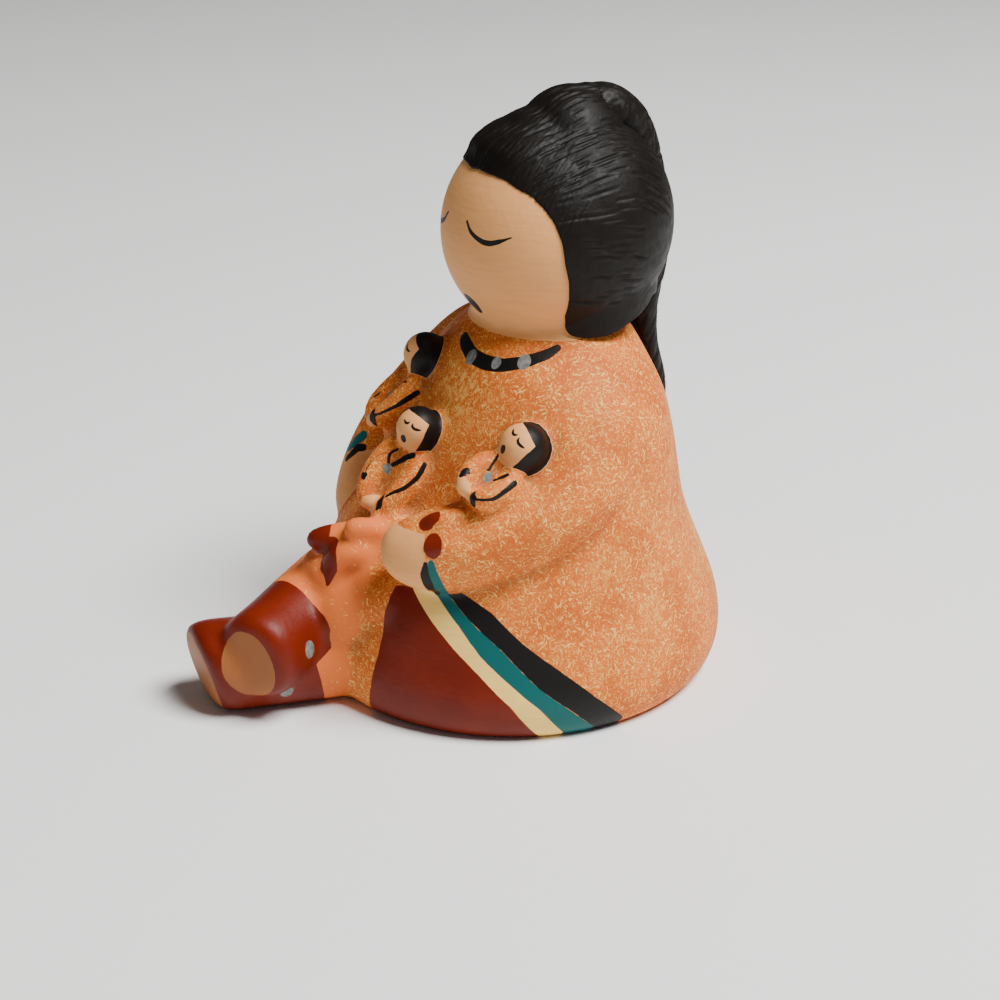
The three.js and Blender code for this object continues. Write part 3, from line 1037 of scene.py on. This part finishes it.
def lay_hair():
    """A ball that covers the head from the pole to the hairline, and closes inside the head."""
    sheet = bmesh.new()
    sizes = {"u_segments": HAIR_COLUMNS, "v_segments": HAIR_RINGS, "radius": 1}
    ball = bmesh.ops.create_uvsphere(sheet, **sizes)["verts"]
    unit_ball = np.array([vertex.co for vertex in ball])
    share = np.arccos(unit_ball[:, 2].clip(-1, 1)) / math.pi
    turn = np.arctan2(unit_ball[:, 1], unit_ball[:, 0])
    left_turn = np.where(np.abs(turn) > math.pi / 2, np.sign(turn) * math.pi - turn, turn)
    past = (share - HAIR_SHEET).clip(0)
    bend = (past / HAIR_EDGE).clip(0, 1)
    inside = ((past - HAIR_EDGE) / (1 - HAIR_SHEET - HAIR_EDGE)).clip(0, 1)
    fall = np.interp(left_turn, edge_turn, edge_fall) * (share / HAIR_SHEET).clip(0, 1)
    fall += TUCK_TURN * np.sin(bend * math.pi / 2)
    round_pole = np.outer(np.cos(turn), POLE_LEFT) + np.outer(np.sin(turn), POLE_DOWN)
    ways = np.cos(fall)[:, None] * HAIR_POLE + np.sin(fall)[:, None] * round_pole
    hits = [hair_form.ray_cast(Vector(HAIR_CENTRE + 60 * way), Vector(-way))[0] for way in ways]
    radius = np.linalg.norm(np.array(hits) - HAIR_CENTRE, axis=1)
    from_edge = (1 - share / HAIR_SHEET) * edge_fall.mean()
    to_head = ways @ (HEAD_CENTRE - HAIR_CENTRE)
    offset = ((HEAD_CENTRE - HAIR_CENTRE) ** 2).sum()
    head = to_head + np.sqrt(to_head**2 - offset + HEAD_RADIUS**2)
    thin = HAIR_RIM * step(ways[:, 2], 0, 0.2) * (1 - step(from_edge, 0, 0.18))
    radius += (head + RIM_LAYER - radius) * thin
    radius -= HAIR_THICKNESS * (1 - np.sqrt(1 - bend**2)) + TUCK_DEPTH * (inside > 0)
    put(ball, HAIR_CENTRE + ways * (radius * (1 - inside))[:, None])
    return sheet, from_edge


hair_bm, from_edge = lay_hair()
hair_mesh = mesh_from(hair_bm, "hair")
fill_creases(hair_mesh, 60)
print("The sheet of hair has", len(hair_mesh.polygons), "faces")

# %% [markdown]
# ## Comb marks
#
# The potter draws a stick or a coarse comb back through the wet clay, which leaves short dents with
# raised rims, and a finer one above the forehead. A bump in the material could hint at them, but
# the outline of the hair shows them as well, so they are pressed into the mesh. Each mark takes a
# random place, clear of the others, and runs the way the comb went there. The side of the head
# behind the cheek stays smooth.

# %% Pressing marks
DENTS = 660
DENT_WIDTH = 0.3 * MM
DENT_DEPTH = 0.3 * MM
DENT_HALF_LENGTH = 2.4
DENT_CLEAR = (4.2, 1.05)
SCRATCHES = 260
SCRATCH_WIDTH = 0.2 * MM
SCRATCH_DEPTH = 0.12 * MM
SCRATCH_HALF_LENGTH = 2.2
SCRATCH_CLEAR = (2.5, 0.5)


def comb_ways(out, rise):
    """Which way the comb went: straight back, rising by so much on the way."""
    ways = np.column_stack([0 * rise, 0 * rise + 1, rise])
    ways -= out * (ways * out).sum(axis=1)[:, None]
    return ways / np.linalg.norm(ways, axis=1)[:, None]


def scatter(rng, places, ways, out, chance, count, clear):
    """Chooses places for marks, each clear of the others so far along it and so far across it."""
    length, gap = clear
    chosen = np.empty((0, 3))
    picked = []
    for i in rng.choice(len(places), 30 * count, p=chance / chance.sum()):
        away = chosen - places[i]
        ahead, across = away @ ways[i], away @ np.cross(out[i], ways[i])
        if np.all((ahead / length) ** 2 + (across / gap) ** 2 > 1) and len(picked) < count:
            picked.append(i)
            chosen = np.vstack([chosen, places[i]])
    return picked


def press(rng, places, ways, out, picked, half_length, half_width, depth):
    """How deep each place is pressed by the strokes, and how far their rims are pushed up."""
    pressed, raised = np.zeros(len(places)), np.zeros(len(places))
    for i in picked:
        size, force, bow = rng.uniform(0.5, 1.5), rng.uniform(0.55, 1), rng.uniform(-0.02, 0.02)
        near = close_to(places, places[i] - 1.6 * half_length, places[i] + 1.6 * half_length)
        away = places[near] - places[i]
        ahead = away @ ways[i]
        across = away @ np.cross(out[i], ways[i]) + bow * ahead**2
        end = (1 - (ahead / (size * half_length)) ** 2).clip(0, 1) ** 0.6
        pressed[near] = np.maximum(pressed[near], force * end * np.exp(-((across / half_width) ** 2)))
        rim = np.exp(-(((np.abs(across) - 1.9 * half_width) / half_width) ** 2))
        raised[near] = np.maximum(raised[near], force * end * rim)
    return depth * (pressed - 0.3 * raised * (1 - pressed))


# %% Dents and scratches
def press_marks(mesh, from_edge):
    """Presses short dents into the sides and the crown, and fine scratches above the forehead."""
    places, out = coordinates(mesh), normals(mesh)
    x, y, z = places.T
    rng = np.random.default_rng(5)
    # Where marks lie: none on the band behind the cheek, few above the forehead, most at the sides
    smooth = (1 - step(z, 80, 87)) * (1 - step(y, -3, 0) * (1 - step(y, 5, 9)))
    forehead = step(-y, -1, 5) * step(z, 82, 86)
    even = np.sin((edge_fall.mean() - from_edge).clip(0, math.pi))
    shown = even * (3 - 2 * step(z, 78, 86)) * step(z, 66, 70) * (1 - smooth)
    shown *= step(from_edge, 0.08, 0.2) * (from_edge > 0)
    ways = comb_ways(out, 0.6 * step(z, 74, 96) - 0.15 - 0.55 * step(y, 4, 14))
    dents = scatter(rng, places, ways, out, shown * (1 - 0.9 * forehead), DENTS, DENT_CLEAR)
    depth = press(rng, places, ways, out, dents, DENT_HALF_LENGTH, DENT_WIDTH, DENT_DEPTH)
    ways = comb_ways(out, 1.8 + 0 * z)
    front = even * (from_edge > 0.02) * step(-y, 0, 5) * step(z, 80, 85)
    scratches = scatter(rng, places, ways, out, front, SCRATCHES, SCRATCH_CLEAR)
    depth += press(
        rng, places, ways, out, scratches, SCRATCH_HALF_LENGTH, SCRATCH_WIDTH, SCRATCH_DEPTH
    )
    set_coordinates(mesh, places - out * depth[:, None])
    write_field(mesh, "ridge", (-3 * depth / DENT_DEPTH).clip(0, 1))
    print("Pressed", len(dents), "dents, and", len(scratches), "scratches above the forehead")


press_marks(hair_mesh, from_edge)

# %% [markdown]
# ## The ponytail
#
# The ponytail is one long flat roll that rises from the crown and falls down the back, close to it.
# It is drawn out by hand, so its marks are long wavy grooves. Noise that is stretched along the roll
# gives them, and they are cut into the mesh as the comb marks are.

# %% The ponytail
PONYTAIL = [
    [0, 4, 89, 5, 5],
    [0, 9.4, 95.6, 4.8, 4.2],
    [0, 14.8, 93, 4.6, 3.9],
    [0, 18, 86.6, 4.2, 3.4],
    [0, 19.7, 79, 4, 3.1],
    [0, 20.2, 70, 3.9, 3],
    [0, 18.8, 61.4, 3.8, 2.8],
    [0, 19.4, 54, 3.6, 2.4],
    [0, 21.6, 46.4, 3.2, 2.2],
    [0, 23, 38.4, 1.6, 1.3],
]
TAIL_MARK = 0.2 * MM

clay_lumps, lumps = lumps, bmesh.new()
roll("ponytail", PONYTAIL, facing=(0, 1, 0.4), blunt=6, sides=140, rings=220)
tail_mesh = mesh_from(lumps, "ponytail")
lumps.free()
lumps = clay_lumps
places, out = coordinates(tail_mesh), normals(tail_mesh)
stretched = [(1.5 * x, 1.5 * (y - 0.6 * z), z / 7) for x, y, z in places]
grooves = np.array([noise.noise(Vector(place)) for place in stretched])
set_coordinates(tail_mesh, places - out * (TAIL_MARK * step(grooves, 0, 0.4))[:, None])
write_field(tail_mesh, "ridge", (0.4 - grooves).clip(0, 1))
print("The ponytail has", len(tail_mesh.polygons), "faces")

# %% [markdown]
# ## How the surface looks
#
# The dress is a terracotta slip, which is thin coloured clay and quite matt, with thousands of small
# light brush dabs over it. The other colours are acrylics: thin and matt on the faces, thicker and
# glossier on the moccasins. One material holds them all, because they lie on one skin, and it cuts
# each colour's edge from its field. All its patterns are noise on the piece's own coordinates in
# millimetres, so they need no unwrapping and join everywhere.

# %% Colours and nodes
SMOOTH = {"interpolation_type": "SMOOTHSTEP"}
TWO_COLOURS = {"data_type": "RGBA", "out": 2}
MIDDLE = (0.5, 0.5, 0.5)


def colour(code):
    """A colour picked off a screen, made linear for the renderer."""
    parts = [int(code[i : i + 2], 16) / 255 for i in (0, 2, 4)]
    parts = [part / 12.92 if part <= 0.04045 else ((part + 0.055) / 1.055) ** 2.4 for part in parts]
    return (*parts, 1)


def node(kind, inputs=(), out=0, **settings):
    """Adds a node with its settings and inputs, given in order or by name, and returns an output."""
    made = tree.nodes.new("ShaderNode" + kind)
    for name, value in settings.items():
        setattr(made, name, value)
    for name, value in inputs.items() if isinstance(inputs, dict) else enumerate(inputs):
        if isinstance(value, bpy.types.NodeSocket):
            tree.links.new(value, made.inputs[name])
        else:
            made.inputs[name].default_value = value
    return made.outputs[out]


def new_material(name):
    material = bpy.data.materials.new(name)
    material.use_nodes = True
    return material, material.node_tree


def shader(base, roughness, metallic=0.0, height=None, depth=0.0, ior=1.5):
    """Feeds the material's one shader; height is a relief whose full range is depth metres."""
    surface = tree.nodes["Principled BSDF"]
    surface.inputs["IOR"].default_value = ior
    for name, value in (("Base Color", base), ("Roughness", roughness), ("Metallic", metallic)):
        if isinstance(value, bpy.types.NodeSocket):
            tree.links.new(value, surface.inputs[name])
        else:
            surface.inputs[name].default_value = value
    if height is not None:
        bump = node("Bump", {"Height": height, "Distance": depth, "Strength": 1.0})
        tree.links.new(bump, surface.inputs["Normal"])
    print("The material has", len(tree.nodes), "nodes")


# %% [markdown]
# ## Brush dabs
#
# A dab of a nearly empty brush is a small streak with its own direction. A Voronoi texture gives
# each place the centre of its cell and a random colour. The colour becomes a direction along the
# surface, and the distances along it and across it make an oval. The real dabs are about half a
# millimetre to a millimetre and a half long, and three sizes of them lie over each other.

# %% One layer of dabs
painted_clay, tree = new_material("slip_and_acrylic_on_fired_clay")
place = node("VectorMath", {0: node("TexCoord", out="Object"), "Scale": 1000}, operation="SCALE")
facing = node("NewGeometry", out="Normal")


def flat(vector):
    """The part of a vector that lies along the surface."""
    out = node("VectorMath", (vector, facing), out=1, operation="DOT_PRODUCT")
    away = node("VectorMath", {0: facing, "Scale": out}, operation="SCALE")
    return node("VectorMath", (vector, away), operation="SUBTRACT")


def dabs(size, half_length, half_width, amount, seed):
    """Small brush dabs: one in each cell of about a size in mm, turned at random."""
    bend = node("TexNoise", {"Vector": place, "Scale": 0.9 / size, "Detail": 1}, out=1)
    bend = node("VectorMath", (bend, MIDDLE), operation="SUBTRACT")
    bend = node("VectorMath", {0: bend, "Scale": 1.1}, operation="SCALE")
    spread = node("VectorMath", {0: place, "Scale": 1 / size}, operation="SCALE")
    spread = node("VectorMath", (spread, bend), operation="ADD")
    spread = node("VectorMath", (spread, (seed, 2 * seed, 3 * seed)), operation="ADD")
    cell = node("TexVoronoi", {"Vector": spread, "Scale": 1}).node
    centre = cell.outputs["Position"]
    offset = flat(node("VectorMath", (spread, centre), operation="SUBTRACT"))
    random = node("VectorMath", (cell.outputs["Color"], MIDDLE), operation="SUBTRACT")
    way = node("VectorMath", (flat(random),), operation="NORMALIZE")
    ahead = node("VectorMath", (offset, way), out=1, operation="DOT_PRODUCT")
    on_line = node("VectorMath", {0: way, "Scale": ahead}, operation="SCALE")
    aside = node("VectorMath", (offset, on_line), operation="SUBTRACT")
    aside = node("VectorMath", (aside,), out=1, operation="LENGTH")
    long = node("Math", (ahead, half_length / size), operation="DIVIDE")
    wide = node("Math", (aside, half_width / size), operation="DIVIDE")
    wide = node("Math", (wide, wide), operation="MULTIPLY")
    ring = node("Math", (long, long, wide), operation="MULTIPLY_ADD")
    chance = node("TexWhiteNoise", {"Vector": centre})
    shown = node("Math", (chance, amount), operation="LESS_THAN")
    return node("Math", (node("MapRange", (ring, 1.25, 0.7), **SMOOTH), shown), operation="MULTIPLY")


# %% [markdown]
# ## The slip
#
# Bare slip varies softly over about a centimetre, where the potter's brush held more or less of it,
# and finely over a millimetre. The skirt between the moccasins and the hem has almost no dabs. Where
# the dry brush was dragged, broken upright streaks show. Hollows and creases get painted shade, a
# darker brown that is weaker on the plain legs.

# %% Noises and fields
# How many lumps a noise has in a millimetre, and how many times it is made finer
CLOUDS = {
    "wide": (0.11, 3),
    "fine": (1.1, 3),
    "thin": (0.9, 3),
    "broken": (1.4, 2),
    "edge": (0.4, 4),
    "relief": (0.7, 4),
}
clouds = {}
for name, (scale, detail) in CLOUDS.items():
    clouds[name] = node("TexNoise", {"Vector": place, "Scale": scale, "Detail": detail})
painted = {}
for name in [*LAYERS, "dry_brush", "hollow"]:
    painted[name] = node("Attribute", out="Fac", attribute_name=name)

# The bristles of a brush draw the paint out level, and those of the dry brush upright
level = node("VectorMath", (place, (0.12, 0.12, 1)), operation="MULTIPLY")
bristles = node("TexNoise", {"Vector": level, "Scale": 1.5, "Detail": 3})
upright = node("VectorMath", (place, (1, 1, 0.35)), operation="MULTIPLY")
dragged = node("TexNoise", {"Vector": upright, "Scale": 1.1, "Detail": 3})
print("The clay's material reads", len(painted), "fields")

# %% Where each tone of the slip lies
plain = node("MapRange", (painted["plain"], -0.9, 0.5), **SMOOTH)
speckled = node("Math", (plain, -0.93, 1), operation="MULTIPLY_ADD")
busy = node("MapRange", (clouds["wide"], 0.36, 0.62, 0.45, 0.9), **SMOOTH)
amount = node("Math", (busy, speckled), operation="MULTIPLY")
long_amount = node("Math", (amount, 0.55), operation="MULTIPLY")
thin = node("MapRange", (clouds["thin"], 0.35, 0.6, 0.25, 1), **SMOOTH)
small_dabs = node("Math", (dabs(0.72, 0.42, 0.11, amount, 7), thin), operation="MULTIPLY")
long_dabs = node("Math", (dabs(1.2, 0.8, 0.12, long_amount, 11), thin), operation="MULTIPLY")
streaks = node("MapRange", (dragged, 0.46, 0.6), **SMOOTH)
broken = node("MapRange", (clouds["broken"], 0.36, 0.5), **SMOOTH)
streaks = node("Math", (streaks, broken), operation="MULTIPLY")
brushed = node("MapRange", (painted["dry_brush"], 0, 1), **SMOOTH)
streaks = node("Math", (streaks, brushed), operation="MULTIPLY")
# Painted shade: hollows and creases are painted darker brown, less so on the plain legs
painted_crease_shade = node("MapRange", (painted["hollow"], 0.1, 1, 0, 0.55), **SMOOTH)
crease_shade_strength = node("Math", (plain, -0.6, 1), operation="MULTIPLY_ADD")
SLIP_TONES = [
    # where it lies, how strong it is there, colour
    (node("MapRange", (clouds["wide"], 0.35, 0.65), **SMOOTH), 1, "d16823"),
    (node("MapRange", (clouds["fine"], 0.4, 0.7, 0, 0.35), **SMOOTH), 1, "dd7c35"),
    (plain, 1, "df7132"),
    (dabs(0.5, 0.22, 0.09, amount, 3), 0.5, "ed9034"),
    (small_dabs, 0.75, "f9bb5e"),
    (long_dabs, 0.85, "fcca6e"),
    (streaks, 0.9, "f0b45a"),
    # painted shade in the hollows and creases
    (painted_crease_shade, crease_shade_strength, "7a4a2a"),
]
slip = colour("c25c1c")
for where, strength, code in SLIP_TONES:
    share = node("Math", (where, strength), operation="MULTIPLY")
    slip = node("Mix", {0: share, 6: slip, 7: colour(code)}, **TWO_COLOURS)
print("The slip has", 1 + len(SLIP_TONES), "tones")

# %% [markdown]
# ## The paints
#
# Acrylic dries to a thin coat with a little gloss, and its index of refraction is near 1.5. A lower
# one keeps the sheen as faint as it is on this dusty figure. The silver dots hold flakes of metal.
# The coats go on in the order in which they were painted, and a little noise on each field makes
# the edge waver as a hand does.

# %% The paints' tones
TONES = {
    # two tones, and the noise that mixes them
    "skin": ("e29f60", "e8a566", bristles, 0.3, 0.7),
    "rust": ("661603", "721d06", clouds["wide"], 0.3, 0.7),
    "cream": ("f7cb6c", "fcd478", bristles, 0.3, 0.7),
    "silver": ("6c6e6a", "8b8e8a", clouds["fine"], 0.35, 0.65),
}
tones = {"sole": colour("9a5c31"), "teal": colour("005958"), "black": colour("100e0c")}
for name, (low_code, high_code, cloud, low, high) in TONES.items():
    share = node("MapRange", (cloud, low, high), **SMOOTH)
    tones[name] = node("Mix", {0: share, 6: colour(low_code), 7: colour(high_code)}, **TWO_COLOURS)

# %% Coat over coat
COATS = {
    # roughness, metallic
    "skin": (0.6, 0),
    "rust": (0.44, 0),
    "sole": (0.5, 0),
    "cream": (0.5, 0),
    "teal": (0.45, 0),
    "black": (0.5, 0),
    "silver": (0.5, 0.25),
}
RELIEF_DEPTH = 0.00012

wobble = node("Math", (clouds["edge"], 0.3, -0.15), operation="MULTIPLY_ADD")
base, metallic = slip, 0.0
roughness = node("Math", (clouds["fine"], 0.12, 0.62), operation="MULTIPLY_ADD")
for name, (coat_roughness, coat_metallic) in COATS.items():
    wavering = node("Math", (painted[name], wobble), operation="ADD")
    cover = node("MapRange", (wavering, -0.04, 0.04), **SMOOTH)
    base = node("Mix", {0: cover, 6: base, 7: tones[name]}, **TWO_COLOURS)
    roughness = node("Mix", {0: cover, 2: roughness, 3: coat_roughness})
    metallic = node("Mix", {0: cover, 2: metallic, 3: coat_metallic})
height = node("Math", (bristles, 0.3), operation="MULTIPLY")
height = node("Math", (clouds["relief"], 0.7, height), operation="MULTIPLY_ADD")
shader(base, roughness, metallic, height, RELIEF_DEPTH, ior=1.3)

# %% [markdown]
# ## The hair's paint
#
# The hair is one coat of black acrylic, which is nearly smooth but shows the clay's grain. The rims
# of the comb marks are painted dark grey in patches: partly wear where hands touch it, partly a
# painted highlight. The shine of the real hair is faint and uneven, so the roughness wanders over a
# few millimetres.

# %% Combed hair
GRAIN_DEPTH = 0.00006

combed_hair, tree = new_material("black_acrylic_over_combed_clay")
place = node("VectorMath", {0: node("TexCoord", out="Object"), "Scale": 1000}, operation="SCALE")
ridge = node("MapRange", (node("Attribute", out="Fac", attribute_name="ridge"), 0.2, 0.9), **SMOOTH)
# The rims of the comb marks are painted lighter in patches: partly wear, partly a painted highlight
lighter_rim_patches = node("TexNoise", {"Vector": place, "Scale": 0.35, "Detail": 3})
lighter_rim_patches = node("MapRange", (lighter_rim_patches, 0.4, 0.62), **SMOOTH)
rim_wear_and_highlight = node("Math", (ridge, lighter_rim_patches), operation="MULTIPLY")
hair_colour = node("Mix", {0: rim_wear_and_highlight, 6: colour("100c08"), 7: colour("292622")}, **TWO_COLOURS)
sheen = node("TexNoise", {"Vector": place, "Scale": 0.5, "Detail": 3})
sheen = node("MapRange", (sheen, 0.35, 0.65, 0.48, 0.58), **SMOOTH)
grain = node("TexNoise", {"Vector": place, "Scale": 1.6, "Detail": 3})
shader(hair_colour, sheen, 0.0, grain, GRAIN_DEPTH, ior=1.25)

# %% [markdown]
# ## The finished pieces
#
# The skin, the sheet of hair and the ponytail are turned from shares to metres. They ride the same
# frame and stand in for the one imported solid, and none may reach outside of its box.

# %% Pieces in metres
def add_piece(name, mesh, material):
    low, high = np.array(cad_box)
    set_coordinates(mesh, (coordinates(mesh) * SHARE).clip(low, high))
    mesh.polygons.foreach_set("use_smooth", [True] * len(mesh.polygons))
    mesh.materials.clear()
    mesh.materials.append(material)
    piece = bpy.data.objects.new(name, mesh)
    bpy.context.scene.collection.objects.link(piece)
    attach(piece, "root")
    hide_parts("storyteller_figure")
    print(name, "has", sum(len(face.vertices) - 2 for face in mesh.polygons), "triangles")


add_piece("storyteller", skin_mesh, painted_clay)
add_piece("hair", hair_mesh, combed_hair)
add_piece("ponytail", tail_mesh, combed_hair)

# %% [markdown]
# ## The studio
#
# A pale seamless floor, a dim even world, one large soft lamp high up behind the figure's left
# shoulder, and a weak one in front that lightens its shadows. The camera stands to the figure's left
# and a little above, where the figure's own symmetry says that the photographer stood.

# %% The floor
FLOOR_HALF = 3

backdrop, tree = new_material("seamless_paper")
shader(colour("f8f7f5"), 0.9)
floor_bm = bmesh.new()
bmesh.ops.create_grid(floor_bm, x_segments=1, y_segments=1, size=FLOOR_HALF)
floor = bpy.data.objects.new("floor", mesh_from(floor_bm, "floor"))
floor.data.materials.append(backdrop)
bpy.context.scene.collection.objects.link(floor)
print("The floor is", 2 * FLOOR_HALF, "m wide")

# %% The camera
CAMERA_PLACE = Vector((0.35423, -0.17077, 0.20601))
CAMERA_LOOK = Vector((-0.833, 0.379, -0.403))

camera_data = bpy.data.cameras.new("camera")
camera_data.lens = 72
camera_data.sensor_width = 36
camera = bpy.data.objects.new("camera", camera_data)
bpy.context.scene.collection.objects.link(camera)
camera.location = CAMERA_PLACE
camera.rotation_euler = CAMERA_LOOK.to_track_quat("-Z", "Y").to_euler()
bpy.context.scene.camera = camera
print(f"The camera stands {CAMERA_PLACE.length:.2f} m away")

# %% The light
LAMPS = [
    # name, place, width, power
    ("softbox", (0.46, 0.38, 1.15), 0.55, 34),
    ("fill", (0.5, -1.1, 0.7), 1.0, 0.3),
]
LIT_PLACE = Vector((0, 0, 0.06))
WORLD_STRENGTH = 0.09

world = bpy.data.worlds.new("studio")
bpy.context.scene.world = world
world.use_nodes = True
sky = world.node_tree.nodes["Background"]
sky.inputs["Color"].default_value = (1, 1, 1, 1)
sky.inputs["Strength"].default_value = WORLD_STRENGTH

for name, spot, size, power in LAMPS:
    lamp_data = bpy.data.lights.new(name, "AREA")
    lamp_data.energy = power
    lamp_data.size = size
    lamp = bpy.data.objects.new(name, lamp_data)
    bpy.context.scene.collection.objects.link(lamp)
    lamp.location = spot
    lamp.rotation_euler = (LIT_PLACE - lamp.location).to_track_quat("-Z", "Y").to_euler()
    print(f"The {name} stands {(LIT_PLACE - lamp.location).length:.2f} m away")
